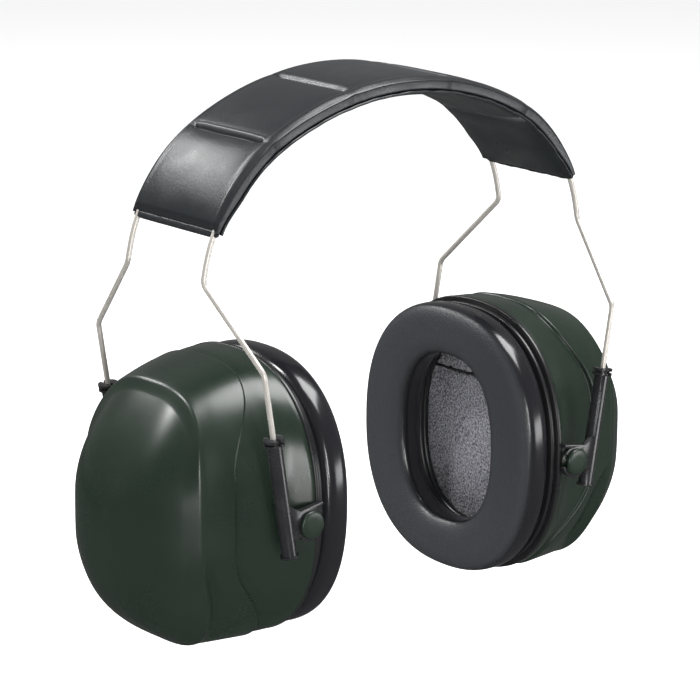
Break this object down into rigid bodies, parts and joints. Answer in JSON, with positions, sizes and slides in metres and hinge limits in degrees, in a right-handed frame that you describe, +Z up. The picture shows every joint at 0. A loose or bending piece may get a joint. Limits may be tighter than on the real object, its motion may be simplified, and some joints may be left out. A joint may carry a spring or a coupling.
{
  "type": "hearing protection earmuffs",
  "caption": "Over-head hearing protection earmuffs: padded band on spring wires, deep oval cups on sliding and tilting holders, soft ring cushions.",
  "frame": {"origin": "point on the underside of the band that rests on the top of the head", "axes": "+X from ear to ear towards the right-hand cup seen from the front, +Y to the rear, +Z up"},
  "size_m": [0.2364, 0.104, 0.1989],
  "materials": {
    "spring_wire": "drawn stainless spring wire, satin",
    "crimp_steel": "plain crimped steel",
    "band_vinyl": "black vinyl sheet, semi-gloss, welded seams",
    "pad_foam": "soft open-cell foam",
    "holder_plastic": "black moulded acetal, low sheen",
    "shell_plastic": "dark green moulded plastic, satin gloss",
    "plate_plastic": "black moulded plastic, glossy",
    "cushion_vinyl": "black vinyl skin, glossy side, finely grained face",
    "pouch_film": "clear soft film filled with fluid",
    "liner_foam": "grey speckled open-cell foam"
  },
  "bodies": {
    "headband": {"wire_front": "spring_wire", "wire_rear": "spring_wire", "wire_ferrules": "crimp_steel", "band_cover": "band_vinyl", "band_lining": "band_vinyl", "band_pad_centre": "pad_foam", "band_pad_inner_right": "pad_foam", "band_pad_outer_right": "pad_foam", "band_pad_inner_left": "pad_foam", "band_pad_outer_left": "pad_foam"},
    "holder_front_left": {"holder_front_left": "holder_plastic"},
    "holder_rear_left": {"holder_rear_left": "holder_plastic"},
    "cup_left": {"cup_shell_left": "shell_plastic", "sealing_plate_left": "plate_plastic", "cushion_backing_left": "plate_plastic", "foam_liner_left": "liner_foam", "foam_damper_left": "liner_foam", "cushion_skin_left": "cushion_vinyl", "fluid_pouch_left": "pouch_film", "cushion_foam_left": "pad_foam"},
    "holder_front_right": {"holder_front_right": "holder_plastic"},
    "holder_rear_right": {"holder_rear_right": "holder_plastic"},
    "cup_right": {"cup_shell_right": "shell_plastic", "sealing_plate_right": "plate_plastic", "cushion_backing_right": "plate_plastic", "foam_liner_right": "liner_foam", "foam_damper_right": "liner_foam", "cushion_skin_right": "cushion_vinyl", "fluid_pouch_right": "pouch_film", "cushion_foam_right": "pad_foam"}
  },
  "joints": [
    {"name": "front_slide_left", "type": "slide", "parent": "headband", "child": "holder_front_left", "axis": [0.1702, 0, -0.9854], "range_m": [-0.017, 0.015]},
    {"name": "rear_slide_left", "type": "slide", "parent": "headband", "child": "holder_rear_left", "axis": [0.1702, 0, -0.9854], "range_m": [-0.017, 0.015]},
    {"name": "cup_tilt_left", "type": "hinge", "parent": "holder_front_left", "child": "cup_left", "pos_m": [-0.0639, 0, -0.141], "axis": [0, 1, 0], "range_deg": [-18, 18]},
    {"name": "front_slide_right", "type": "slide", "parent": "headband", "child": "holder_front_right", "axis": [-0.1702, 0, -0.9854], "range_m": [-0.017, 0.015]},
    {"name": "rear_slide_right", "type": "slide", "parent": "headband", "child": "holder_rear_right", "axis": [-0.1702, 0, -0.9854], "range_m": [-0.017, 0.015]},
    {"name": "cup_tilt_right", "type": "hinge", "parent": "holder_front_right", "child": "cup_right", "pos_m": [0.0639, 0, -0.141], "axis": [0, 1, 0], "range_deg": [-18, 18]}
  ],
  "couplings": [
    {"joint": "rear_slide_left", "follows": "front_slide_left", "ratio": 1},
    {"joint": "rear_slide_right", "follows": "front_slide_right", "ratio": 1}
  ]
}
